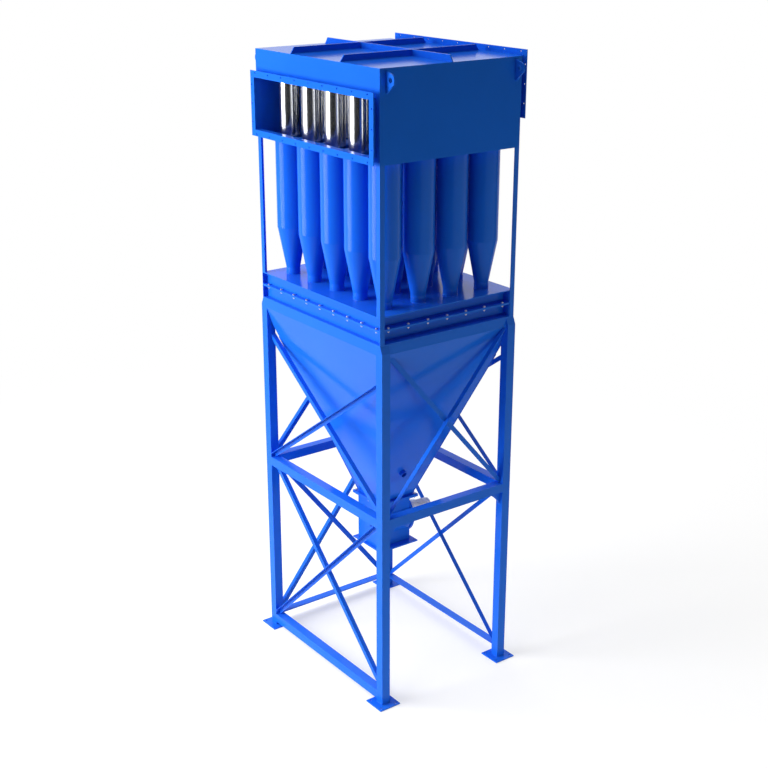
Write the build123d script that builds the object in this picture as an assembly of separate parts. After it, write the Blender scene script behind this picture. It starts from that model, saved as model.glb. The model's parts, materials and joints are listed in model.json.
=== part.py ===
from build123d import *
import math
import os

os.makedirs("parts", exist_ok=True)

# Millimetres. +X is the gas flow from inlet to outlet, -Y is the open service side, +Z is up.
# The origin lies on the floor at the centre of the plan.

# Stand
leg_size = 80
leg_wall = 5
leg_top_z = 3200
leg_outset = 26
leg_slant_h = 60
base_plate = 206
base_plate_t = 10
anchor_spacing = 150
anchor_hole_d = 18
rail_size = 80
rail_wall = 5
mid_rail_z = 1640
inlet_low_rail_z = 38
low_angle_h = 58
low_angle_t = 6
brace_leg = 40
brace_t = 4
brace_foot = 12
end_brace_drop = 347
side_brace_drop = 78
low_brace_head = 18
gusset_x = 140
gusset_z = 125
gusset_sag = 16
gusset_t = 10

# Casing and tube pattern
casing_wall = 6
casing_h = 688
tube_plate_t = 8
roof_t = 8
cyclone_rows = 4
cyclones_per_row = 5
pitch = 328
casing_margin_x = 27
casing_margin_y = 33
cyclone_d = 254
cyclone_wall = 5
cylinder_h = 754
cone_h = 352
spout_d = 120
spout_h = 59
vortex_d = 168
vortex_wall = 4
vortex_dip = 180
vortex_lip = 22
gas_sheet_t = 6
seat_gap = 0.3

# Duct openings and their flanges
duct_inset = 56
duct_z = 423
duct_wall = 6
duct_neck = 57
duct_flange_w = 53
duct_flange_t = 8
duct_hole_d = 14
duct_hole_edge = 18
duct_row_inset = 20
duct_column_inset = 61.5
duct_holes_across = 9
duct_holes_up = 3
inlet_sill = 52

# Roof stiffeners and lifting lugs
rib_h = 50
rib_t = 10
rib_end_gap = 10
rib_chamfer = 34
lug_inset = 62
lug_t = 14
lug_h = 155
lug_top_gap = 25
lug_r = 46
lug_out = 100
lug_eye_d = 40
lug_eye_drop = 58

# Corner posts, skirts and dust plate
post_w = 45
post_t = 6
end_recess = 43
side_recess = 75
skirt_t = 6
joint_flange_t = 8
lower_skirt_h = 109
upper_skirt_h = 106
dust_plate_t = 8

# Hopper
hopper_flange_t = 8
rim_h = 80
rim_t = 6
hopper_h = 1632
hopper_wall = 5
hopper_mouth = 330
outlet_flange = 414
outlet_flange_t = 12
probe_d = 60
probe_wall = 5
probe_len = 34
probe_x = -40
probe_up = 300

# Rotary valve
valve_h = 453
valve_len = 330
valve_drum_d = 340
valve_throat = 280
valve_flange_t = 12
valve_port = 250
valve_port_depth = 70
valve_hole_d = 14
valve_hole_spacing = 370
cover_w = 330
cover_t = 12
bearing_cap_d = 90
bearing_cap_t = 14
drive_cover_d = 360
drive_cover_t = 25
gearbox_d = 130
gearbox_len = 90
motor_d = 96
motor_len = 200

# Levels, worked upwards from the legs
hopper_top_z = leg_top_z + hopper_flange_t
joint_z = hopper_top_z + lower_skirt_h
dust_plate_z = joint_z + upper_skirt_h
dust_top_z = dust_plate_z + dust_plate_t
casing_floor_z = dust_top_z + spout_h + cone_h + cylinder_h
chamber_z = casing_floor_z + tube_plate_t
roof_under_z = chamber_z + casing_h
roof_z = roof_under_z + roof_t
rim_z = leg_top_z - rim_h
mouth_z = rim_z - hopper_h
valve_top_z = mouth_z - outlet_flange_t
valve_bottom_z = valve_top_z - valve_h
valve_axis_z = valve_top_z - valve_h / 2
mouth_out = hopper_mouth + 2 * hopper_wall

# Plan lines shared by the stand, the skirts and the casing, set by the pattern of cyclones
casing_x = cyclone_rows * pitch + 2 * casing_margin_x
casing_y = cyclones_per_row * pitch + 2 * casing_margin_y
half_x = casing_x / 2
half_y = casing_y / 2
leg_out_x = half_x
leg_out_y = half_y + leg_outset
leg_in_x = leg_out_x - leg_size
leg_in_y = leg_out_y - leg_size
leg_cx = leg_out_x - leg_size / 2
leg_cy = leg_out_y - leg_size / 2
skirt_x = half_x - end_recess
skirt_y = half_y - side_recess
skirt_in_x = 2 * (skirt_x - skirt_t)
skirt_in_y = 2 * (skirt_y - skirt_t)
post_in_y = half_y - post_t
mid_rail_top = mid_rail_z + rail_size
low_rail_top = inlet_low_rail_z + rail_size
duct_y = casing_y - 2 * duct_inset
duct_hole_pitch_y = (duct_y - 2 * duct_row_inset) / (duct_holes_across - 1)
duct_hole_pitch_z = (duct_z - 2 * duct_column_inset) / (duct_holes_up - 1)
rib_y = casing_y / 5
lug_x = half_x - lug_inset
inlet_mid_z = chamber_z + inlet_sill + duct_z / 2
outlet_mid_z = roof_under_z - duct_z / 2
sheet_high_z = inlet_mid_z + duct_z / 2
sheet_low_z = outlet_mid_z - duct_z / 2
row_x = [(i - (cyclone_rows - 1) / 2) * pitch for i in range(cyclone_rows)]
column_y = [(j - (cyclones_per_row - 1) / 2) * pitch for j in range(cyclones_per_row)]


def block(x0, x1, y0, y1, z0, z1):
    """Box between two corners."""
    return Pos((x0 + x1) / 2, (y0 + y1) / 2, (z0 + z1) / 2) * Box(x1 - x0, y1 - y0, z1 - z0)


def save(shape, node):
    export_step(shape, f"parts/{node}.step")


def four_corners(x, y):
    return [(sx * x, sy * y) for sx in (-1, 1) for sy in (-1, 1)]


# Stand: base plates, legs and rails
def base_plate_solid(cx, cy):
    plate = Pos(cx, cy, base_plate_t / 2) * Box(base_plate, base_plate, base_plate_t)
    drill = Cylinder(anchor_hole_d / 2, 4 * base_plate_t)
    corners = four_corners(anchor_spacing / 2, anchor_spacing / 2)
    return plate - [Pos(cx + x, cy + y, 0) * drill for x, y in corners]


def leg(sx, sy):
    """Square tube whose head is cut back on a slant from its outset face to the casing line."""
    outside = block(leg_in_x, leg_out_x, leg_in_y, leg_out_y, base_plate_t, leg_top_z)
    bore = leg_size - 2 * leg_wall
    inside = block(
        leg_cx - bore / 2, leg_cx + bore / 2, leg_cy - bore / 2, leg_cy + bore / 2, 0, leg_top_z - leg_wall
    )
    slant = Polyline(
        (leg_out_y, leg_top_z - leg_slant_h),
        (leg_out_y, leg_top_z),
        (half_y, leg_top_z),
        close=True,
    )
    wedge = extrude(Plane.YZ * make_face(slant), 2 * leg_out_x)
    core = extrude(offset(Plane.YZ * make_face(slant), leg_wall, kind=Kind.INTERSECTION), 2 * leg_out_x)
    tube = outside - wedge - (inside - core)
    if sx < 0:
        tube = mirror(tube, about=Plane.YZ)
    if sy < 0:
        tube = mirror(tube, about=Plane.XZ)
    return tube


def rail_along_y(side, z0):
    bore = rail_size - 2 * rail_wall
    tube = Box(leg_size, 2 * leg_in_y, rail_size) - Box(leg_size - 2 * rail_wall, 2 * leg_out_y, bore)
    return Pos(side * leg_cx, 0, z0 + rail_size / 2) * tube


def rail_along_x(side, z0):
    bore = rail_size - 2 * rail_wall
    tube = Box(2 * leg_in_x, leg_size, rail_size) - Box(2 * leg_out_x, leg_size - 2 * rail_wall, bore)
    return Pos(0, side * leg_cy, z0 + rail_size / 2) * tube


def low_angles():
    """Angle rails of the outlet and back sides: a level leg on top and an upright leg at the outer face."""
    foot = low_rail_top - low_angle_h
    shelf = low_rail_top - low_angle_t
    outlet = block(leg_in_x, leg_out_x, -leg_in_y, leg_in_y, shelf, low_rail_top)
    outlet += block(leg_out_x - low_angle_t, leg_out_x, -leg_in_y, leg_in_y, foot, low_rail_top)
    back = block(-leg_in_x, leg_in_x, leg_in_y, leg_out_y, shelf, low_rail_top)
    back += block(-leg_in_x, leg_in_x, leg_out_y - low_angle_t, leg_out_y, foot, low_rail_top)
    return [outlet, back]


def gusset(sx):
    """Corner plate under the service-side rail, its free edge drawn in to a shallow arc."""
    corner = (sx * leg_in_x, mid_rail_z)
    along = (sx * (leg_in_x - gusset_x), mid_rail_z)
    down = (sx * leg_in_x, mid_rail_z - gusset_z)
    run = math.hypot(gusset_x, gusset_z)
    middle = (
        (along[0] + down[0]) / 2 + sx * gusset_sag * gusset_z / run,
        (along[1] + down[1]) / 2 + gusset_sag * gusset_x / run,
    )
    edges = Line(down, corner) + Line(corner, along) + ThreePointArc(along, middle, down)
    plate = extrude(Plane.XZ * make_face(edges), gusset_t / 2, both=True)
    return Pos(0, -leg_cy, 0) * plate


save(Compound([base_plate_solid(x, y) for x, y in four_corners(leg_cx, leg_cy)]), "base_plates")
for sx, end in ((-1, "inlet"), (1, "outlet")):
    for sy, side in ((-1, "service"), (1, "back")):
        save(leg(sx, sy), f"leg_{end}_{side}")
mid_rails = [rail_along_y(side, mid_rail_z) for side in (-1, 1)]
mid_rails += [rail_along_x(side, mid_rail_z) for side in (-1, 1)]
save(Compound(mid_rails), "mid_rails")
save(Compound([rail_along_y(-1, inlet_low_rail_z)] + low_angles()), "low_rails")
save(Compound([gusset(-1), gusset(1)]), "rail_gussets")


# Hopper: top frame between the leg heads, pyramid, outlet flange and probe socket
def hopper_top_frame():
    plate = block(-half_x, half_x, -half_y, half_y, leg_top_z, hopper_top_z)
    frame = plate - Pos(0, 0, leg_top_z) * Box(skirt_in_x, skirt_in_y, 4 * hopper_flange_t)
    for side in (-1, 1):
        xs = sorted((side * half_x, side * (half_x - rim_t)))
        ys = sorted((side * half_y, side * (half_y - rim_t)))
        frame += block(xs[0], xs[1], -leg_in_y, leg_in_y, rim_z, leg_top_z)
        frame += block(-leg_in_x, leg_in_x, ys[0], ys[1], rim_z, leg_top_z)
    return frame


def funnel(top_x, top_y, mouth_x, mouth_y):
    """Solid four-sided funnel between the rim and the hopper mouth."""
    body = Wedge(
        top_x,
        hopper_h,
        top_y,
        (top_x - mouth_x) / 2,
        (top_y - mouth_y) / 2,
        (top_x + mouth_x) / 2,
        (top_y + mouth_y) / 2,
        align=(Align.CENTER, Align.MIN, Align.CENTER),
    )
    return Pos(0, 0, rim_z) * Rot(-90, 0, 0) * body


def hopper_plates():
    """End plates over the full width and side plates set between them, all notched where the legs stand."""
    wall = 2 * hopper_wall
    between = funnel(casing_x - wall, casing_y, hopper_mouth, mouth_out)
    hollow = funnel(casing_x - wall, casing_y - wall, hopper_mouth, hopper_mouth)
    notch = Box(leg_size, leg_size, 2 * leg_top_z)
    notches = [Pos(x, y, 0) * notch for x, y in four_corners(leg_cx, leg_cy)]
    bore = extrude(probe_seat() * Circle(probe_d / 2 - probe_wall), probe_len, both=True)
    return hopper_block - between - notches, between - hollow - notches - bore


def outlet_flange_ring():
    ring = Rectangle(outlet_flange, outlet_flange) - Rectangle(hopper_mouth, hopper_mouth)
    return Pos(0, 0, valve_top_z) * extrude(ring, outlet_flange_t)


def probe_seat():
    """Plane on the outside of the service-side plate where the probe socket stands."""
    lean = (half_y - mouth_out / 2) / hopper_h
    foot = (probe_x, -mouth_out / 2 - lean * probe_up, mouth_z + probe_up)
    return Plane(origin=foot, x_dir=(1, 0, 0), z_dir=(0, -1, -lean))


def probe_socket():
    """Pipe socket standing square on the sloping plate."""
    return extrude(probe_seat() * (Circle(probe_d / 2) - Circle(probe_d / 2 - probe_wall)), probe_len)


hopper_block = funnel(casing_x, casing_y, mouth_out, mouth_out)
save(hopper_top_frame(), "hopper_top_frame")
end_plates, side_plates = hopper_plates()
save(end_plates, "hopper_end_plates")
save(side_plates, "hopper_side_plates")
save(outlet_flange_ring(), "hopper_outlet_flange")
save(probe_socket(), "hopper_probe_socket")


# Braces: crossed angle bars between legs and rails, cut back where they meet the hopper plates
def angle_brace(face, reach, half_span, left_z, right_z, z0, z1):
    """Angle bar on one side of a bay's face: a flat leg, and a leg that stands out along its upper edge."""
    bay = Pos(0, (z0 + z1) / 2) * Rectangle(2 * half_span, z1 - z0)
    slope = math.degrees(math.atan2(right_z - left_z, 2 * half_span))
    length = 2 * math.hypot(2 * half_span, right_z - left_z)
    line = Pos(0, (left_z + right_z) / 2) * Rot(0, 0, slope)
    flat = line * Rectangle(length, brace_leg) & bay
    edge = line * Pos(0, (brace_leg - brace_t) / 2) * Rectangle(length, brace_t) & bay
    bar = extrude(face * flat, reach * brace_t) + extrude(face * edge, reach * brace_leg)
    return bar - hopper_block


def crossed_braces(face, out, half_span, left_z, right_z, z0, z1):
    """Two bars back to back on the legs' middle plane, one outside and its mirror image inside."""
    outer = angle_brace(face, out, half_span, left_z, right_z, z0, z1)
    inner = angle_brace(face, -out, half_span, right_z, left_z, z0, z1)
    return outer, inner


upper_foot_z = mid_rail_top + brace_foot
lower_foot_z = low_rail_top + brace_foot
lower_head_z = mid_rail_z + low_brace_head
end_head_z = leg_top_z - end_brace_drop
side_head_z = leg_top_z - side_brace_drop
back_face = Plane.XZ.offset(-leg_cy)
bays = {
    "upper": [],
    "lower": [crossed_braces(back_face, -1, leg_in_x, lower_foot_z, lower_head_z, low_rail_top, mid_rail_z)],
}
for side in (-1, 1):
    end_face = Plane.YZ.offset(side * leg_cx)
    side_face = Plane.XZ.offset(-side * leg_cy)
    bays["upper"] += [
        crossed_braces(end_face, side, leg_in_y, end_head_z, upper_foot_z, mid_rail_top, rim_z),
        crossed_braces(side_face, -side, leg_in_x, upper_foot_z, side_head_z, mid_rail_top, rim_z),
    ]
    bays["lower"] += [
        crossed_braces(end_face, side, leg_in_y, lower_head_z, lower_foot_z, low_rail_top, mid_rail_z),
    ]
for level, pairs in bays.items():
    save(Compound([outer for outer, inner in pairs]), f"{level}_outer_braces")
    save(Compound([inner for outer, inner in pairs]), f"{level}_inner_braces")


# Skirts: two stacked frames that meet at a bolted flange, with the dust plate on top
def skirt(z0, z1, flange_z):
    """Frame of four plates; the end plates run on to the corner posts and carry the flange between them."""
    frame = block(-half_x, half_x, -post_in_y, post_in_y, flange_z, flange_z + joint_flange_t)
    for side in (-1, 1):
        xs = sorted((side * skirt_x, side * (skirt_x - skirt_t)))
        ys = sorted((side * skirt_y, side * (skirt_y - skirt_t)))
        frame += block(xs[0], xs[1], -post_in_y, post_in_y, z0, z1)
        frame += block(-skirt_x, skirt_x, ys[0], ys[1], z0, z1)
    return frame - Pos(0, 0, (z0 + z1) / 2) * Box(skirt_in_x, skirt_in_y, 2 * (z1 - z0))


def tube_holes(diameter, z, depth):
    spots = [(x, y) for x in row_x for y in column_y]
    return [Pos(x, y, z) * Cylinder(diameter / 2, depth) for x, y in spots]


def dust_plate():
    plate = block(-half_x, half_x, -post_in_y, post_in_y, dust_plate_z, dust_top_z)
    return plate - tube_holes(spout_d - 2 * cyclone_wall, dust_top_z, 4 * dust_plate_t)


def corner_post(sx, sy):
    """Angle post: its side leg runs down to the hopper frame, its end leg stops at the dust plate."""
    ys = sorted((sy * half_y, sy * post_in_y))
    xs = sorted((sx * half_x, sx * (half_x - post_w)))
    side_leg = block(xs[0], xs[1], ys[0], ys[1], hopper_top_z, casing_floor_z)
    xe = sorted((sx * half_x, sx * (half_x - post_t)))
    ye = sorted((sy * half_y, sy * (half_y - post_w)))
    return side_leg + block(xe[0], xe[1], ye[0], ye[1], dust_top_z, casing_floor_z)


save(skirt(hopper_top_z, joint_z, joint_z - joint_flange_t), "lower_skirt")
save(skirt(joint_z, dust_plate_z, joint_z), "upper_skirt")
save(dust_plate(), "dust_plate")
save(Compound([corner_post(sx, sy) for sx in (-1, 1) for sy in (-1, 1)]), "corner_posts")


# Cyclones and the vortex tubes that stand in them
def cyclone():
    """Cylinder, cone and spout turned as one shell."""
    body_r = cyclone_d / 2
    spout_r = spout_d / 2
    cone_z = dust_top_z + spout_h
    body_z = cone_z + cone_h
    outline = Polyline(
        (spout_r, dust_top_z),
        (spout_r, cone_z),
        (body_r, body_z),
        (body_r, casing_floor_z),
        (body_r - cyclone_wall, casing_floor_z),
        (body_r - cyclone_wall, body_z),
        (spout_r - cyclone_wall, cone_z),
        (spout_r - cyclone_wall, dust_top_z),
        close=True,
    )
    return revolve(Plane.XZ * make_face(outline), Axis.Z)


def sheet_z(x):
    """Underside of the sloping sheet that parts dusty gas below from clean gas above."""
    inner = half_x - casing_wall
    return sheet_high_z + (sheet_low_z - sheet_high_z) * (x + inner) / (2 * inner)


def vortex_tube(x):
    foot = casing_floor_z - vortex_dip
    top = sheet_z(x) + gas_sheet_t + vortex_lip
    ring = Circle(vortex_d / 2) - Circle(vortex_d / 2 - vortex_wall)
    return Pos(0, 0, foot) * extrude(ring, top - foot)


def gas_sheet():
    inner = half_x - casing_wall
    outline = Polyline(
        (-inner, sheet_high_z),
        (inner, sheet_low_z),
        (inner, sheet_low_z + gas_sheet_t),
        (-inner, sheet_high_z + gas_sheet_t),
        close=True,
    )
    sheet = extrude(Plane.XZ * make_face(outline), half_y - casing_wall, both=True)
    return sheet - tube_holes(vortex_d + 2 * seat_gap, (sheet_high_z + sheet_low_z) / 2, 2 * duct_z)


one_cyclone = cyclone()
for i, x in enumerate(row_x):
    one_tube = vortex_tube(x)
    save(Compound([Pos(x, y, 0) * one_cyclone for y in column_y]), f"cyclone_row_{i + 1}")
    save(Compound([Pos(x, y, 0) * one_tube for y in column_y]), f"vortex_tube_row_{i + 1}")
save(gas_sheet(), "clean_gas_sheet")


# Casing: tube plate, walls, roof with stiffeners, lugs and duct necks
def tube_plate():
    plate = block(-half_x, half_x, -half_y, half_y, casing_floor_z, chamber_z)
    return plate - tube_holes(cyclone_d - 2 * cyclone_wall, chamber_z, 4 * tube_plate_t)


def end_wall(side, mid_z):
    xs = sorted((side * half_x, side * (half_x - casing_wall)))
    wall = block(xs[0], xs[1], -half_y, half_y, chamber_z, roof_under_z)
    return wall - Pos(side * half_x, 0, mid_z) * Box(4 * casing_wall, duct_y, duct_z)


def side_wall(side):
    ys = sorted((side * half_y, side * (half_y - casing_wall)))
    return block(-half_x + casing_wall, half_x - casing_wall, ys[0], ys[1], chamber_z, roof_under_z)


def duct_neck_tube(side, mid_z):
    xs = sorted((side * half_x, side * (half_x + duct_neck)))
    outside = Box(duct_neck, duct_y + 2 * duct_wall, duct_z + 2 * duct_wall)
    return Pos(sum(xs) / 2, 0, mid_z) * (outside - Box(2 * duct_neck, duct_y, duct_z))


def duct_flange(side, mid_z):
    """Bolting frame round the end of a neck, drilled along all four bars."""
    half_w = duct_y / 2 + duct_flange_w
    half_h = duct_z / 2 + duct_flange_w
    frame = Rectangle(2 * half_w, 2 * half_h) - Rectangle(duct_y + 2 * duct_wall, duct_z + 2 * duct_wall)
    row = GridLocations(duct_hole_pitch_y, 2 * (half_h - duct_hole_edge), duct_holes_across, 2)
    column = GridLocations(2 * (half_w - duct_hole_edge), duct_hole_pitch_z, 2, duct_holes_up)
    frame -= row * Circle(duct_hole_d / 2)
    frame -= column * Circle(duct_hole_d / 2)
    plate = extrude(Plane.YZ * frame, duct_flange_t)
    face = half_x + duct_neck
    return Pos(face - duct_flange_t if side > 0 else -face, 0, mid_z) * plate


def chamfered_bar(length):
    return Polyline(
        (-length / 2, 0),
        (length / 2, 0),
        (length / 2 - rib_chamfer, rib_h),
        (-length / 2 + rib_chamfer, rib_h),
        close=True,
    )


def roof_ribs():
    """Two bars along the gas flow crossed by one, with sloping ends."""
    long_rib = extrude(Plane.XZ * make_face(chamfered_bar(casing_x - 2 * rib_end_gap)), rib_t / 2, both=True)
    cross_rib = extrude(Plane.YZ * make_face(chamfered_bar(casing_y - 2 * rib_end_gap)), rib_t / 2, both=True)
    grid = cross_rib + Pos(0, rib_y, 0) * long_rib + Pos(0, -rib_y, 0) * long_rib
    return Pos(0, 0, roof_z) * grid


def lifting_lug(sx, sy):
    """Ear whose outline is drawn tight round the eye and a wall pad, so its underside slants to the wall."""
    eye = (lug_out - lug_r, lug_h - lug_eye_drop)
    with BuildSketch() as ear:
        with Locations(eye):
            Circle(lug_r)
        with Locations((lug_t / 2, lug_h / 2)):
            Rectangle(lug_t, lug_h)
        make_hull()
        with Locations(eye):
            Circle(lug_eye_d / 2, mode=Mode.SUBTRACT)
    plate = extrude(Plane.YZ * ear.sketch, lug_t / 2, both=True)
    if sy < 0:
        plate = mirror(plate, about=Plane.XZ)
    return Pos(sx * lug_x, sy * half_y, roof_z - lug_top_gap - lug_h) * plate


save(tube_plate(), "tube_plate")
save(end_wall(-1, inlet_mid_z), "inlet_wall")
save(end_wall(1, outlet_mid_z), "outlet_wall")
save(Compound([side_wall(-1), side_wall(1)]), "side_walls")
save(duct_neck_tube(-1, inlet_mid_z), "inlet_neck")
save(duct_neck_tube(1, outlet_mid_z), "outlet_neck")
save(duct_flange(-1, inlet_mid_z), "inlet_flange")
save(duct_flange(1, outlet_mid_z), "outlet_flange")
save(block(-half_x, half_x, -half_y, half_y, roof_under_z, roof_z), "roof_plate")
save(roof_ribs(), "roof_ribs")
save(Compound([lifting_lug(sx, sy) for sx in (-1, 1) for sy in (-1, 1)]), "lifting_lugs")


# Rotary valve under the hopper
def valve_body():
    """Cast housing: a drum across a square throat, flanged at both ends, with the outlet port sunk below."""
    drum = Pos(0, 0, valve_axis_z) * Rot(0, 90, 0) * Cylinder(valve_drum_d / 2, valve_len)
    throat = block(
        -valve_len / 2, valve_len / 2, -valve_throat / 2, valve_throat / 2, valve_bottom_z, valve_top_z
    )
    plates = [
        Pos(0, 0, z) * Box(outlet_flange, outlet_flange, valve_flange_t)
        for z in (valve_top_z - valve_flange_t / 2, valve_bottom_z + valve_flange_t / 2)
    ]
    body = drum + throat + plates
    body -= Pos(0, 0, valve_bottom_z) * Box(valve_port, valve_port, 2 * valve_port_depth)
    corners = four_corners(valve_hole_spacing / 2, valve_hole_spacing / 2)
    drill = Cylinder(valve_hole_d / 2, 4 * valve_flange_t)
    return body - [Pos(x, y, valve_bottom_z) * drill for x, y in corners]


def disc(x, diameter, thickness):
    return Pos(x + thickness / 2, 0, valve_axis_z) * Rot(0, 90, 0) * Cylinder(diameter / 2, thickness)


def end_cover():
    """Plate between the two flanges, with the cap of the shaft's bearing on it."""
    face = -valve_len / 2 - cover_t
    z0 = valve_bottom_z + valve_flange_t
    z1 = valve_top_z - valve_flange_t
    plate = block(face, -valve_len / 2, -cover_w / 2, cover_w / 2, z0, z1)
    return plate + disc(face - bearing_cap_t, bearing_cap_d, bearing_cap_t)


save(valve_body(), "valve_body")
save(end_cover(), "valve_end_cover")
save(disc(valve_len / 2, drive_cover_d, drive_cover_t), "valve_drive_cover")
gearbox_x = valve_len / 2 + drive_cover_t
motor_x = gearbox_x + gearbox_len
save(disc(gearbox_x, gearbox_d, gearbox_len) + disc(motor_x, motor_d, motor_len), "valve_drive")
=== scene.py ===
import json
import math
import bmesh
import bpy
import numpy as np
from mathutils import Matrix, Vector


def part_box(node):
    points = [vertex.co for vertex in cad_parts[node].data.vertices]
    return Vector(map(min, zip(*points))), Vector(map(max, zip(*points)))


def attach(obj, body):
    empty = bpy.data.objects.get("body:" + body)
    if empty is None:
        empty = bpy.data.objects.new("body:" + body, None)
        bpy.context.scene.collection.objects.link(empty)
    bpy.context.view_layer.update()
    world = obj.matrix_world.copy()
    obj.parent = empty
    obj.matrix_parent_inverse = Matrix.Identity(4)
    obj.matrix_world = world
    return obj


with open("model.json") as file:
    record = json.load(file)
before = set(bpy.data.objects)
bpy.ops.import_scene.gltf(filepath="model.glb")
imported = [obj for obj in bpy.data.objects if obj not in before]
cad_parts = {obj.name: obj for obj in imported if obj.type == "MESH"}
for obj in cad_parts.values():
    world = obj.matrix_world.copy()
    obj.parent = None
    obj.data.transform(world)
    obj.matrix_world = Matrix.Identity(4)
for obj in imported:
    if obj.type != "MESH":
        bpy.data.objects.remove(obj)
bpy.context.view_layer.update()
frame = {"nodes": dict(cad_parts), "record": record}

scene = bpy.context.scene
slotOf = {part["node"]: part["material_slot"] for part in frame["record"]["subparts"]}
print("frame loaded:", len(frame["nodes"]), "nodes")


# shader nodes

floatPlug, vectorPlug = "NodeSocketFloat", "NodeSocketVector"
bumpDepth = 0.001
white = (1, 1, 1, 1)


def newGroup(name, inputs, outputs):
    tree = bpy.data.node_groups.new(name, "ShaderNodeTree")
    for label, kind, value in inputs:
        plug = tree.interface.new_socket(label, in_out="INPUT", socket_type=kind)
        if value is not None:
            plug.default_value = value
    for label, kind in outputs:
        tree.interface.new_socket(label, in_out="OUTPUT", socket_type=kind)
    return tree, tree.nodes.new("NodeGroupInput").outputs, tree.nodes.new("NodeGroupOutput")


def fillPlugs(tree, node, plugs):  # a socket is linked, anything else is set as the value
    for plug, source in plugs.items():
        if isinstance(source, bpy.types.NodeSocket):
            tree.links.new(source, node.inputs[plug])
        else:
            node.inputs[plug].default_value = source


def addNode(tree, kind, plugs=None, **values):
    node = tree.nodes.new(kind)
    for key, value in values.items():
        setattr(node, key, value)
    fillPlugs(tree, node, plugs or {})
    return node


def noise(tree, spot, scale, detail):
    plugs = {"Vector": spot, "Scale": scale, "Detail": detail}
    return addNode(tree, "ShaderNodeTexNoise", plugs).outputs["Fac"]


def remap(tree, value, ends=(0.0, 1.0), levels=(0.0, 1.0), style="LINEAR"):
    plugs = {
        "Value": value, "From Min": ends[0], "From Max": ends[1],
        "To Min": levels[0], "To Max": levels[1],
    }
    return addNode(tree, "ShaderNodeMapRange", plugs, interpolation_type=style).outputs["Result"]


def addMath(tree, operation, a, b):
    return addNode(tree, "ShaderNodeMath", {0: a, 1: b}, operation=operation).outputs["Value"]


def addVectorMath(tree, operation, *terms):
    plugs = dict(enumerate(terms))
    return addNode(tree, "ShaderNodeVectorMath", plugs, operation=operation).outputs["Value"]


def mixColour(tree, factor, a, b):  # a Mix node's colour sockets are inputs 6 and 7 and output 2
    return addNode(tree, "ShaderNodeMix", {0: factor, 6: a, 7: b}, data_type="RGBA").outputs[2]


def bumped(tree, height, strength):
    plugs = {"Height": height, "Strength": strength, "Distance": bumpDepth}
    return addNode(tree, "ShaderNodeBump", plugs).outputs["Normal"]


# effects that several materials share

sprayForm = {"peelDetail": 1.0, "cloudDetail": 4.0, "toneEnds": (0.2, 0.8)}


def makeSprayedSkin():  # fine noise for the ripple of the spray, broad noise for its tone and gloss
    tree, given, out = newGroup(
        "sprayedSkin",
        [("Vector", vectorPlug, None), ("Peel Scale", floatPlug, 260.0), ("Cloud Scale", floatPlug, 1.6)],
        [("Height", floatPlug), ("Tone", floatPlug)],
    )
    peel = noise(tree, given["Vector"], given["Peel Scale"], sprayForm["peelDetail"])
    cloud = noise(tree, given["Vector"], given["Cloud Scale"], sprayForm["cloudDetail"])
    tone = remap(tree, cloud, sprayForm["toneEnds"], style="SMOOTHSTEP")
    fillPlugs(tree, out, {"Height": peel, "Tone": tone})
    return tree


dustForm = {"level": (0.55, 0.95), "patches": (0.3, 0.8), "detail": 5.0}


def makeSettledDust():  # mask of faces that look up, broken by noise
    tree, given, out = newGroup(
        "settledDust",
        [("Vector", vectorPlug, None), ("Patch Scale", floatPlug, 7.0)],
        [("Mask", floatPlug)],
    )
    normal = addNode(tree, "ShaderNodeNewGeometry").outputs["Normal"]
    upward = addNode(tree, "ShaderNodeSeparateXYZ", {"Vector": normal}).outputs["Z"]
    flat = remap(tree, upward, dustForm["level"])
    patch = noise(tree, given["Vector"], given["Patch Scale"], dustForm["detail"])
    broken = remap(tree, patch, dustForm["patches"], style="SMOOTHSTEP")
    fillPlugs(tree, out, {"Mask": addMath(tree, "MULTIPLY", flat, broken)})
    return tree


rubForm = {"turn": (0.97, 0.75), "detail": 3.0, "samples": 4}


def makeEdgeRub():  # mask of sharp edges: how far a rounded normal turns from the face's own
    tree, given, out = newGroup(
        "edgeRub",
        [("Vector", vectorPlug, None), ("Width", floatPlug, 0.004), ("Patch Scale", floatPlug, 22.0)],
        [("Mask", floatPlug)],
    )
    normal = addNode(tree, "ShaderNodeNewGeometry").outputs["Normal"]
    rounded = addNode(tree, "ShaderNodeBevel", {"Radius": given["Width"]}, samples=rubForm["samples"])
    agree = addVectorMath(tree, "DOT_PRODUCT", normal, rounded.outputs["Normal"])
    edge = remap(tree, agree, rubForm["turn"])
    patch = noise(tree, given["Vector"], given["Patch Scale"], rubForm["detail"])
    fillPlugs(tree, out, {"Mask": addMath(tree, "MULTIPLY", edge, patch)})
    return tree


sprayedSkin, settledDust, edgeRub = makeSprayedSkin(), makeSettledDust(), makeEdgeRub()


# materials

def newMaterial(name):
    material = bpy.data.materials.new(name)
    material.use_nodes = True
    tree = material.node_tree
    spot = addNode(tree, "ShaderNodeTexCoord").outputs["Object"]
    return material, tree, tree.nodes["Principled BSDF"], spot


def placeGroup(tree, group, plugs):
    return addNode(tree, "ShaderNodeGroup", plugs, node_tree=group).outputs


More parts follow.
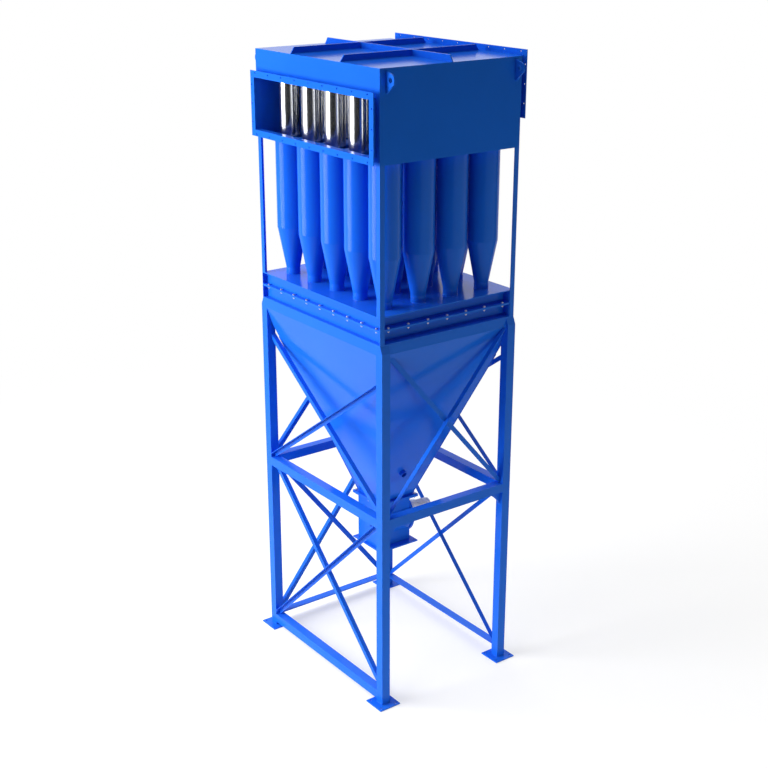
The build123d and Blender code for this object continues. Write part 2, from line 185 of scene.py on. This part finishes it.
enamel = {
    "blue": (0.012, 0.150, 0.83, 1), "deep": (0.010, 0.140, 0.79, 1), "pale": (0.05, 0.27, 0.95, 1),
    "dust": (0.45, 0.52, 0.66, 1), "rubMost": 0.35, "gloss": (0.13, 0.18), "peelBump": 0.04,
}
enamelCoats = {
    "stand_paint": {"name": "standEnamel", "patchScale": 7.0, "dustMost": 0.02, "specular": 0.10},
    "hopper_paint": {"name": "hopperEnamel", "patchScale": 4.0, "dustMost": 0.02, "specular": 0.10},
    "cyclone_paint": {"name": "cycloneEnamel", "patchScale": 9.0, "dustMost": 0.02, "specular": 0.10},
    "casing_paint": {"name": "casingEnamel", "patchScale": 3.0, "dustMost": 0.02, "specular": 0.024},
    "valve_paint": {"name": "valveEnamel", "patchScale": 12.0, "dustMost": 0.04, "specular": 0.10},
}


def makeEnamel(name, patchScale, dustMost, specular):
    material, tree, shader, spot = newMaterial(name)
    skin = placeGroup(tree, sprayedSkin, {"Vector": spot})
    dust = placeGroup(tree, settledDust, {"Vector": spot, "Patch Scale": patchScale})
    rub = placeGroup(tree, edgeRub, {"Vector": spot})
    rubShare = remap(tree, rub["Mask"], levels=(0.0, enamel["rubMost"]))
    dustShare = remap(tree, dust["Mask"], levels=(0.0, dustMost))
    body = mixColour(tree, skin["Tone"], enamel["deep"], enamel["blue"])
    rubbed = mixColour(tree, rubShare, body, enamel["pale"])
    fillPlugs(tree, shader, {
        "Base Color": mixColour(tree, dustShare, rubbed, enamel["dust"]),
        "Roughness": remap(tree, skin["Tone"], levels=enamel["gloss"]),
        "Normal": bumped(tree, skin["Height"], enamel["peelBump"]),
        "Specular IOR Level": specular,
    })
    return material


drawnSteel = {
    "bright": (0.48, 0.49, 0.51, 1), "dull": (0.44, 0.45, 0.47, 1), "gloss": (0.18, 0.24),
    "stretch": (40, 40, 0.6), "lineScale": 3.0, "lineDetail": 3.0,
}


def makeDrawnSteel(name):  # polish lines run along the tube
    material, tree, shader, spot = newMaterial(name)
    stretched = addNode(tree, "ShaderNodeMapping", {"Vector": spot, "Scale": drawnSteel["stretch"]})
    lines = noise(tree, stretched.outputs["Vector"], drawnSteel["lineScale"], drawnSteel["lineDetail"])
    fillPlugs(tree, shader, {
        "Base Color": mixColour(tree, lines, drawnSteel["dull"], drawnSteel["bright"]),
        "Roughness": remap(tree, lines, levels=drawnSteel["gloss"]),
        "Metallic": 1.0,
    })
    return material


castGrey = {
    "light": (0.97, 0.97, 0.98, 1), "dark": (0.92, 0.93, 0.94, 1), "gloss": (0.35, 0.5),
    "grain": 190.0, "cloud": 9.0, "grainBump": 0.2, "patchScale": 30.0, "dustMost": 0.15,
}


def makeCastGrey(name):
    material, tree, shader, spot = newMaterial(name)
    grain = {"Vector": spot, "Peel Scale": castGrey["grain"], "Cloud Scale": castGrey["cloud"]}
    skin = placeGroup(tree, sprayedSkin, grain)
    dust = placeGroup(tree, settledDust, {"Vector": spot, "Patch Scale": castGrey["patchScale"]})
    dustShare = remap(tree, dust["Mask"], levels=(0.0, castGrey["dustMost"]))
    body = mixColour(tree, skin["Tone"], castGrey["dark"], castGrey["light"])
    fillPlugs(tree, shader, {
        "Base Color": mixColour(tree, dustShare, body, enamel["dust"]),
        "Roughness": remap(tree, skin["Tone"], levels=castGrey["gloss"]),
        "Normal": bumped(tree, skin["Height"], castGrey["grainBump"]),
    })
    return material


zinc = {
    "bright": (0.62, 0.65, 0.70, 1), "dull": (0.40, 0.43, 0.48, 1), "gloss": (0.22, 0.42),
    "grain": 900.0, "cloud": 60.0,
}


def makeZinc(name):
    material, tree, shader, spot = newMaterial(name)
    grain = {"Vector": spot, "Peel Scale": zinc["grain"], "Cloud Scale": zinc["cloud"]}
    skin = placeGroup(tree, sprayedSkin, grain)
    fillPlugs(tree, shader, {
        "Base Color": mixColour(tree, skin["Tone"], zinc["dull"], zinc["bright"]),
        "Roughness": remap(tree, skin["Height"], levels=zinc["gloss"]),
        "Metallic": 1.0,
    })
    return material


finishes = {slotName: makeEnamel(**coat) for slotName, coat in enamelCoats.items()}
finishes["tube_steel"] = makeDrawnSteel("drawnSteel")
finishes["drive_metal"] = makeCastGrey("castGrey")
boltZinc = makeZinc("boltZinc")
for name, node in frame["nodes"].items():
    node.data.materials.clear()
    node.data.materials.append(finishes[slotOf[name]])
print("materials:", len(finishes) + 1)


# surfaces worked out on grids

mergeGap = 1e-6  # points nearer than this are one, which closes poles and seams


def gridQuads(across, along, closedAlong=False):
    # each quad joins a point, its neighbour round the row and the two on the next row
    i = np.arange(across)
    j = np.arange(along if closedAlong else along - 1)
    j, i = np.meshgrid(j, i, indexing="ij")
    nextI, nextJ = (i + 1) % across, (j + 1) % along
    corners = [j * across + i, j * across + nextI, nextJ * across + nextI, nextJ * across + i]
    return np.stack(corners, -1).reshape(-1, 4)


def copyQuads(quads, points, copies):  # the same quads again for every copy of a set of points
    return (quads[None] + np.arange(copies)[:, None, None] * points).reshape(-1, 4)


def closedGrid(points):  # a grid of points whose rows close on themselves
    return points.reshape(-1, 3), gridQuads(points.shape[1], points.shape[0])


def setDown(points, quads, spots):  # one shape again at every spot
    placed = points.reshape(1, -1, 3) + spots[:, None]
    return placed.reshape(-1, 3), copyQuads(quads, points.size // 3, len(spots))


def joinSets(sets):
    points, quads, count = [], [], 0
    for somePoints, someQuads in sets:
        points.append(somePoints)
        quads.append(someQuads + count)
        count += len(somePoints)
    return np.concatenate(points), np.concatenate(quads)


def evenly(count, pitch):  # places on a line, with 0 in the middle
    return (np.arange(count) - (count - 1) / 2) * pitch


def atHeight(spots, z):
    return np.column_stack([spots, np.full(len(spots), z)])


def putPiece(name, points, quads, slotName, sharp, material=None):
    mesh = bpy.data.meshes.new(name)
    mesh.from_pydata(points.tolist(), [], quads.tolist())
    work = bmesh.new()
    work.from_mesh(mesh)
    bmesh.ops.remove_doubles(work, verts=work.verts, dist=mergeGap)
    work.to_mesh(mesh)
    work.free()
    mesh.polygons.foreach_set("use_smooth", np.ones(len(mesh.polygons), bool))
    mesh.set_sharp_from_angle(angle=math.radians(sharp))
    mesh.materials.append(material or finishes[slotName])
    piece = bpy.data.objects.new(name, mesh)
    scene.collection.objects.link(piece)
    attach(piece, "root")


def turned(rows, sides):
    # rows of (height, radius, hexness) swung round Z;
    # hexness 1 swaps the circle for a hexagon of that corner radius
    height, radius, hexness = np.array(rows, float).T[:, :, None]
    angle = np.arange(sides) * 2 * np.pi / sides
    hexagon = math.cos(math.pi / 6) / np.cos((angle + math.pi / 6) % (math.pi / 3) - math.pi / 6)
    reach = radius * (1 - hexness + hexness * hexagon)
    return np.stack([reach * np.cos(angle), reach * np.sin(angle), height + 0 * reach], -1)


# hexagon bolts: lengths are shares of the bolt's size, the chamfer is a share of its corner radius
boltForm = {
    "washer": 0.19, "corner": 0.92, "chamfer": 0.8, "headFlat": 0.52, "headTop": 0.62,
    "nutFlat": 0.7, "nutTop": 0.8, "threadEnd": 1.25, "thread": 0.5, "sides": 12, "sharp": 35,
}


def hexBolt(size, grip):
    # turned profiles about the middle of a joint of thickness grip:
    # head and washer above it, nut and thread end below
    top, thread, corner = grip / 2, boltForm["thread"] * size, boltForm["corner"] * size
    seat, chamfer = top + boltForm["washer"] * size, boltForm["chamfer"] * corner
    headFlat, headTop = seat + boltForm["headFlat"] * size, seat + boltForm["headTop"] * size
    nutFlat, nutTop = -seat - boltForm["nutFlat"] * size, -seat - boltForm["nutTop"] * size
    threadEnd = -seat - boltForm["threadEnd"] * size
    head = [
        (top, 0, 0), (top, size, 0), (seat, size, 0), (seat, corner, 1),
        (headFlat, corner, 1), (headTop, chamfer, 0), (headTop, 0, 0),
    ]
    nut = [
        (threadEnd, 0, 0), (threadEnd, thread, 0), (nutTop, thread, 0), (nutTop, chamfer, 0),
        (nutFlat, corner, 1), (-seat, corner, 1), (-seat, size, 0), (-top, size, 0), (-top, 0, 0),
    ]
    return [turned(rows, boltForm["sides"]) for rows in (nut, head)]


def putBolts(name, size, grip, spots):
    halves = [setDown(*closedGrid(half), spots) for half in hexBolt(size, grip)]
    putPiece(name, *joinSets(halves), "tube_steel", boltForm["sharp"], boltZinc)


# bolts of the joint between the two skirts
jointBolts = {
    "size": 0.012, "flange": 0.008, "endCount": 9, "endPitch": 0.195, "endInset": 0.021,
    "sideCount": 7, "sidePitch": 0.194, "sideInset": 0.030,
}
skirtLow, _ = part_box("upper_skirt")
casingLow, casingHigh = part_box("tube_plate")
boltX, boltY = casingHigh.x - jointBolts["endInset"], casingHigh.y - jointBolts["sideInset"]
alongY = evenly(jointBolts["endCount"], jointBolts["endPitch"])
alongX = evenly(jointBolts["sideCount"], jointBolts["sidePitch"])
spots = [(side * boltX, y) for side in (-1, 1) for y in alongY]
spots += [(x, side * boltY) for side in (-1, 1) for x in alongX]
putBolts("joint_bolts", jointBolts["size"], 2 * jointBolts["flange"], atHeight(spots, skirtLow.z))

# bolts between hopper and valve, at the corners of a square and half-way along its sides
valveBolts = {"size": 0.012, "pitch": 0.185}
ringLow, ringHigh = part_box("hopper_outlet_flange")
grip = 2 * (ringHigh.z - ringLow.z)
roundSquare = np.array([(-1, -1), (0, -1), (1, -1), (1, 0), (1, 1), (0, 1), (-1, 1), (-1, 0)])
spots = atHeight(valveBolts["pitch"] * roundSquare, ringLow.z)
putBolts("valve_bolts", valveBolts["size"], grip, spots)
print("bolts placed")


# weld beads
beadForm = {
    "ripple": 0.22, "step": 0.009, "rowsPerStep": 2, "fewestRows": 8,
    "sides": 7, "ringSides": 5, "upright": 0.9, "sharp": 180,
}


def beadRadius(length, radius):  # scalloped along its length, drawn to a point at both ends
    rows = int(length / beadForm["step"] * beadForm["rowsPerStep"])
    along = np.linspace(0, 1, max(beadForm["fewestRows"], rows))
    scallop = 1 - beadForm["ripple"] * np.abs(np.sin(np.pi * along * length / beadForm["step"]))
    taper = np.clip(np.minimum(along, 1 - along) * length / radius, 0, 1)
    return along, radius * scallop * np.sqrt(taper)


def straightBeads(starts, ends, radius):
    # a circle of scalloped radius carried along each line; all lines share one length
    starts, ends = np.array(starts, float), np.array(ends, float)
    run = ends - starts
    along, reach = beadRadius(np.linalg.norm(run[0]), radius)
    way = run / np.linalg.norm(run, axis=1, keepdims=True)
    isUpright = np.abs(way[:, 2:]) > beadForm["upright"]
    sideways = np.cross(np.where(isUpright, (1.0, 0, 0), (0, 0, 1.0)), way)
    sideways /= np.linalg.norm(sideways, axis=1, keepdims=True)
    upward = np.cross(way, sideways)
    angle = (np.arange(beadForm["sides"]) * 2 * np.pi / beadForm["sides"])[None, :, None]
    ring = np.cos(angle) * sideways[:, None] + np.sin(angle) * upward[:, None]
    path = starts[:, None, None] + run[:, None, None] * along[None, :, None, None]
    points = path + ring[:, None] * reach[None, :, None, None]
    quads = gridQuads(beadForm["sides"], len(along))
    return points.reshape(-1, 3), copyQuads(quads, points[0].size // 3, len(starts))


def ringBeads(centres, radius, bead, waves):
    # a small scalloped circle carried round a ring about Z; its angle runs backwards so that faces point out
    sides, rows = beadForm["ringSides"], waves * 2
    turn = (np.arange(rows) * np.pi / waves)[:, None]
    reach = bead * (1 - beadForm["ripple"] * (np.arange(rows) % 2))[:, None]
    angle = -np.arange(sides) * 2 * np.pi / sides
    out = radius + reach * np.cos(angle)
    points = np.stack([out * np.cos(turn), out * np.sin(turn), reach * np.sin(angle)], -1)
    return setDown(points, gridQuads(sides, rows, closedAlong=True), centres)


hopperSeams = {"bead": 0.005, "from": 0.16, "to": 0.995, "mouthInset": 0.037}
plateLow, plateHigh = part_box("hopper_end_plates")
_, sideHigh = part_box("hopper_side_plates")
mouthHalf = (ringHigh.x - ringLow.x) / 2 - hopperSeams["mouthInset"]
corners = np.array([(sx, sy) for sx in (-1, 1) for sy in (-1, 1)])
rimCorner = atHeight(corners * (plateHigh.x, sideHigh.y), plateHigh.z)
fall = atHeight(corners * mouthHalf, plateLow.z) - rimCorner
seamStart, seamEnd = rimCorner + fall * hopperSeams["from"], rimCorner + fall * hopperSeams["to"]
points, quads = straightBeads(seamStart, seamEnd, hopperSeams["bead"])
putPiece("hopper_welds", points, quads, "hopper_paint", beadForm["sharp"])

cycloneWelds = {"bead": 0.004, "spoutRadius": 0.060, "bodyRadius": 0.127, "waves": 20, "columns": 5}
rowBoxes = [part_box("cyclone_row_%d" % row) for row in (1, 2, 3, 4)]
rowLow, rowHigh = rowBoxes[0]
pitchY = (rowHigh.y - rowLow.y - 2 * cycloneWelds["bodyRadius"]) / (cycloneWelds["columns"] - 1)
columnY = evenly(cycloneWelds["columns"], pitchY)
tubeSpots = np.array([((low.x + high.x) / 2, y) for low, high in rowBoxes for y in columnY])
points, quads = joinSets(
    ringBeads(atHeight(tubeSpots, z), cycloneWelds[radius], cycloneWelds["bead"], cycloneWelds["waves"])
    for z, radius in ((rowLow.z, "spoutRadius"), (rowHigh.z, "bodyRadius"))
)
putPiece("cyclone_welds", points, quads, "cyclone_paint", beadForm["sharp"])

ribWelds = {"bead": 0.004, "half": 0.005, "endGap": 0.03, "widthParts": 5}
_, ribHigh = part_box("roof_ribs")
_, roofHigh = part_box("roof_plate")
ribY = 2 * roofHigh.y / ribWelds["widthParts"]  # each long rib is one part of the width from the middle
longX = ribHigh.x - ribWelds["endGap"]
beadY = [y + side * ribWelds["half"] for y in (-ribY, ribY) for side in (-1, 1)]
ribStarts, ribEnds = [[(end * longX, y, roofHigh.z) for y in beadY] for end in (-1, 1)]
points, quads = straightBeads(ribStarts, ribEnds, ribWelds["bead"])
putPiece("rib_welds", points, quads, "casing_paint", beadForm["sharp"])

footWelds = {"bead": 0.006}
legSets = []
for end in ("inlet", "outlet"):
    for side in ("service", "back"):
        low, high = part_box("leg_%s_%s" % (end, side))
        square = [(low.x, low.y), (high.x, low.y), (high.x, high.y), (low.x, high.y)]
        starts = atHeight(square, low.z)
        ends = np.roll(starts, -1, axis=0)
        for first in (0, 1):  # the two sides along X, then the two along Y
            legSets.append(straightBeads(starts[first::2], ends[first::2], footWelds["bead"]))
points, quads = joinSets(legSets)
putPiece("foot_welds", points, quads, "stand_paint", beadForm["sharp"])
print("welds laid")


# swirl vanes in the mouth of each cyclone
swirlVanes = {
    "inner": 0.0846, "outer": 0.1216, "drop": 0.075, "sweep": math.radians(58), "steepening": 1.3,
    "blades": 8, "steps": 9, "thick": 0.003, "below": 0.004, "sharp": 40,
}


def vaneSet():
    # a thin upright rectangle between tube and cyclone carried down a helix:
    # depth grows with the turn, and the thickness drawn to nothing shuts both ends
    turn = np.linspace(0, 1, swirlVanes["steps"])[:, None]
    across = np.array([swirlVanes[edge] for edge in ("inner", "outer", "outer", "inner")])
    lift = np.array([0, 0, 1, 1]) * swirlVanes["thick"]
    thick = np.where((turn > 0) & (turn < 1), 1.0, 0.0) * lift
    depth = -turn ** swirlVanes["steepening"] * swirlVanes["drop"] + thick
    start = np.arange(swirlVanes["blades"]) * 2 * np.pi / swirlVanes["blades"]
    swung = turn * swirlVanes["sweep"] + 0 * across + start[:, None, None]
    return np.stack([across * np.cos(swung), across * np.sin(swung), depth + 0 * swung], -1)


blades = vaneSet()
bladeQuads = gridQuads(blades.shape[2], blades.shape[1])
setQuads = copyQuads(bladeQuads, blades[0].size // 3, len(blades))
points, quads = setDown(blades, setQuads, atHeight(tubeSpots, casingLow.z - swirlVanes["below"]))
putPiece("swirl_vanes", points, quads, "cyclone_paint", swirlVanes["sharp"])
print("vanes set")


# gear motor: ribbed barrel, fan cowl, flange and terminal box round the plain drive
motorForm = {"overall": 0.200, "sides": 32, "sharp": 30}
barrelForm = {
    "radius": 0.048, "start": 0.02, "length": 0.125, "fin": 0.009, "fins": 22,
    "pointsPerFin": 6, "finSteepness": 3, "rows": (0, 0.02, 0.98, 1.0),
}
cowlForm = {"length": 0.045, "radius": 0.052, "straight": 0.038, "roll": (0.0445, 0.044), "rim": 0.040}
flangeForm = {"root": 0.05, "radius": 0.07, "straight": 0.012, "thick": 0.014, "edge": 0.068}
boxForm = {"half": (0.038, 0.024, 0.030), "along": 0.075, "power": 8, "around": 24, "rings": 13}
_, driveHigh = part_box("valve_drive")
valveLow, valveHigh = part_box("valve_body")
axisZ = (valveLow.z + valveHigh.z) / 2


def finnedBarrel(start):
    # radius swells and falls with the angle, once for each fin; both ends drop to the bare barrel
    count = barrelForm["fins"] * barrelForm["pointsPerFin"]
    angle = np.arange(count) * 2 * np.pi / count
    wave = np.clip(np.cos(angle * barrelForm["fins"]) * barrelForm["finSteepness"], -1, 1) / 2 + 0.5
    along = np.array(barrelForm["rows"])[:, None] * barrelForm["length"]
    rise = np.array([0, 1, 1, 0])[:, None] * barrelForm["fin"]
    reach = barrelForm["radius"] + rise * wave
    return np.stack([start + along + 0 * reach, reach * np.cos(angle), reach * np.sin(angle) + axisZ], -1)


def turnedAlongX(start, rows):  # rows of (place along X, radius)
    shape = turned([(place, radius, 0) for place, radius in rows], motorForm["sides"])[..., [2, 0, 1]]
    return shape + np.array([start, 0, axisZ])


def roundedBox(centre, half):
    # a superquadric: each coordinate is a signed power of the sphere's,
    # so a high power gives a box with soft edges
    around = np.linspace(-np.pi, np.pi, boxForm["around"] + 1)[:-1]
    updown = np.linspace(-np.pi / 2, np.pi / 2, boxForm["rings"])[:, None]

    def soft(value):
        return np.sign(value) * np.abs(value) ** (2 / boxForm["power"])

    girth = soft(np.cos(updown))
    sphere = [girth * soft(np.cos(around)), girth * soft(np.sin(around)), soft(np.sin(updown)) + 0 * around]
    return np.array(centre) + np.stack(sphere, -1) * np.array(half)


motorStart = driveHigh.x - motorForm["overall"]
barrel = finnedBarrel(motorStart + barrelForm["start"])
cowl = turnedAlongX(driveHigh.x - cowlForm["length"], [
    (0, barrelForm["radius"]), (0, cowlForm["radius"]), (cowlForm["straight"], cowlForm["radius"]),
    cowlForm["roll"], (cowlForm["length"], cowlForm["rim"]), (cowlForm["length"], 0),
])
flange = turnedAlongX(motorStart, [
    (0, flangeForm["root"]), (0, flangeForm["radius"]), (flangeForm["straight"], flangeForm["radius"]),
    (flangeForm["thick"], flangeForm["edge"]), (flangeForm["thick"], barrelForm["radius"]),
])
boxY = barrelForm["radius"] + boxForm["half"][1]
terminalBox = roundedBox((motorStart + boxForm["along"], boxY, axisZ), boxForm["half"])
points, quads = joinSets(closedGrid(grid) for grid in (barrel, cowl, flange, terminalBox))
putPiece("motor_trim", points, quads, "drive_metal", motorForm["sharp"])
print("motor dressed")


# floor, light and camera
floorForm = {
    "half": 60.0, "fade": (2.0, 9.0), "glow": (0.50, 1.0), "shade": (0.56, 0.0),
    # the glow strength and tint below, met only by the object's diffuse light, are painted warm bounce light
    # from the floor
    "brightest": (1.0, -2.5, 0.0), "bounce": (0.85, 0.03), "paintedBounceGlow": (0.14, 0.0), "paintedBounceTint": (1.0, 0.85, 0.6, 1),
}


def seesBackground(tree):  # 1 for rays that meet the white background: straight, mirrored or through glass
    path = addNode(tree, "ShaderNodeLightPath").outputs
    mirrored = addMath(tree, "MAXIMUM", path["Is Camera Ray"], path["Is Glossy Ray"])
    return addMath(tree, "MAXIMUM", mirrored, path["Is Transmission Ray"])


def makeFloor():  # white to the eye and in polished parts, with a faint shadow; to the object's diffuse light it also glows warm, strongest in front, as painted bounce light, and its bounce fades outwards
    material = bpy.data.materials.new("paleFloor")
    material.use_nodes = True
    tree = material.node_tree
    tree.nodes.clear()
    spot = addNode(tree, "ShaderNodeTexCoord").outputs["Object"]
    fromMiddle = addVectorMath(tree, "LENGTH", spot)
    fromBrightest = addVectorMath(tree, "DISTANCE", spot, floorForm["brightest"])

    def faded(distance, levels):
        return remap(tree, distance, floorForm["fade"], floorForm[levels], "SMOOTHSTEP")

    def glowing(strength, tint, shade):
        light = addNode(tree, "ShaderNodeEmission", {"Strength": strength, "Color": tint})
        matt = addNode(tree, "ShaderNodeBsdfDiffuse", {"Color": shade})
        return addNode(tree, "ShaderNodeAddShader", {0: light.outputs[0], 1: matt.outputs[0]}).outputs[0]

    seen = glowing(faded(fromMiddle, "glow"), white, faded(fromMiddle, "shade"))
    # painted bounce light: a warm glow that only the object's diffuse light meets, strongest near the front,
    # over a matt bounce that fades outwards
    unseen = glowing(faded(fromBrightest, "paintedBounceGlow"), floorForm["paintedBounceTint"], faded(fromBrightest, "bounce"))
    both = addNode(tree, "ShaderNodeMixShader", {0: seesBackground(tree), 1: unseen, 2: seen})
    addNode(tree, "ShaderNodeOutputMaterial", {"Surface": both.outputs[0]})
    return material


def putStage(name, corners, material):
    mesh = bpy.data.meshes.new(name)
    mesh.from_pydata(corners, [], [(0, 1, 2, 3)])
    mesh.materials.append(material)
    sheet = bpy.data.objects.new(name, mesh)
    scene.collection.objects.link(sheet)
    return sheet


half = floorForm["half"]
putStage("floor", [(-half, -half, 0), (half, -half, 0), (half, half, 0), (-half, half, 0)], makeFloor())

# dark card left of the camera, met only by mirrored rays: it draws the dark stripes on the polished tubes
darkCard = {
    "from": (-15.6, 1.9), "to": (-6.2, -14.3), "height": 6.0,
    "shade": (0.006, 0.006, 0.007, 1), "gloss": (0.85, 1.0), "napScale": 300.0, "napDetail": 2.0,
}


def makeDarkCard():
    material, tree, shader, spot = newMaterial("darkCard")
    nap = noise(tree, spot, darkCard["napScale"], darkCard["napDetail"])
    fillPlugs(tree, shader, {
        "Base Color": darkCard["shade"],
        "Roughness": remap(tree, nap, levels=darkCard["gloss"]),
        "Specular IOR Level": 0.0,
    })
    return material


cardFrom, cardTo, cardTop = darkCard["from"], darkCard["to"], darkCard["height"]
cardCorners = [(*cardFrom, 0), (*cardTo, 0), (*cardTo, cardTop), (*cardFrom, cardTop)]
card = putStage("darkCard", cardCorners, makeDarkCard())
card.visible_camera = card.visible_diffuse = card.visible_transmission = card.visible_shadow = False

skyForm = {"towards": (-0.10, 0.50, 0.86), "lean": (0.3, 1.0), "soft": (0.07, 1.50), "background": 1.0}


def makeSky():  # white to the eye and in polished parts; lights softly from above and behind
    world = bpy.data.worlds.new("studio")
    scene.world = world
    world.use_nodes = True
    tree = world.node_tree
    tree.nodes.clear()
    way = addNode(tree, "ShaderNodeTexCoord").outputs["Generated"]
    lean = addVectorMath(tree, "DOT_PRODUCT", way, Vector(skyForm["towards"]).normalized())
    rise = remap(tree, lean, skyForm["lean"], skyForm["soft"], "SMOOTHSTEP")
    unseen, seen = [
        addNode(tree, "ShaderNodeBackground", {"Strength": strength, "Color": white}).outputs[0]
        for strength in (rise, skyForm["background"])
    ]
    both = addNode(tree, "ShaderNodeMixShader", {0: seesBackground(tree), 1: unseen, 2: seen})
    addNode(tree, "ShaderNodeOutputWorld", {"Surface": both.outputs[0]})


makeSky()
panels = {
    "leftPanel": {
        "place": (-7.2, 3.0, 4.3), "aim": (0.0, 0.0, 2.6), "size": (5.0, 6.0),
        "power": 895.0, "tint": (1.0, 1.0, 1.0), "mirrored": True,
    },
    "backPanel": {
        "place": (6.6, 8.8, 9.3), "aim": (0.0, 0.0, 5.0), "size": (12.0, 6.0),
        "power": 75.0, "tint": (1.0, 1.0, 1.0), "mirrored": True,
    },
    "lowPanel": {
        "place": (2.5, -13.0, 0.3), "aim": (0.0, 0.0, 3.5), "size": (4.0, 1.0),
        "power": 360.0, "tint": (1.0, 0.85, 0.52), "mirrored": False,
    },
}
for name, form in panels.items():
    lampData = bpy.data.lights.new(name, "AREA")
    lampData.shape = "RECTANGLE"
    lampData.size, lampData.size_y = form["size"]
    lampData.energy = form["power"]
    lampData.color = form["tint"]
    lamp = bpy.data.objects.new(name, lampData)
    lamp.location = form["place"]
    lamp.visible_camera = False
    lamp.visible_glossy = form["mirrored"]
    lamp.rotation_euler = (Vector(form["aim"]) - Vector(form["place"])).to_track_quat("-Z", "Y").to_euler()
    scene.collection.objects.link(lamp)

cameraForm = {
    "place": (-6.484, -8.752, 6.462), "tilt": 19.972, "heading": 36.471,
    "focus": 1343.73, "frame": 768, "sensor": 36.0, "farthest": 300.0,  # focus and frame in pixels
}
cameraData = bpy.data.cameras.new("camera")
cameraData.sensor_width = cameraForm["sensor"]
cameraData.lens = cameraForm["focus"] / cameraForm["frame"] * cameraData.sensor_width
cameraData.clip_end = cameraForm["farthest"]
camera = bpy.data.objects.new("camera", cameraData)
camera.location = cameraForm["place"]
camera.rotation_euler = (math.radians(90 - cameraForm["tilt"]), 0, math.radians(-cameraForm["heading"]))
scene.collection.objects.link(camera)
scene.camera = camera
scene.view_settings.view_transform = "Standard"
print("stage set")
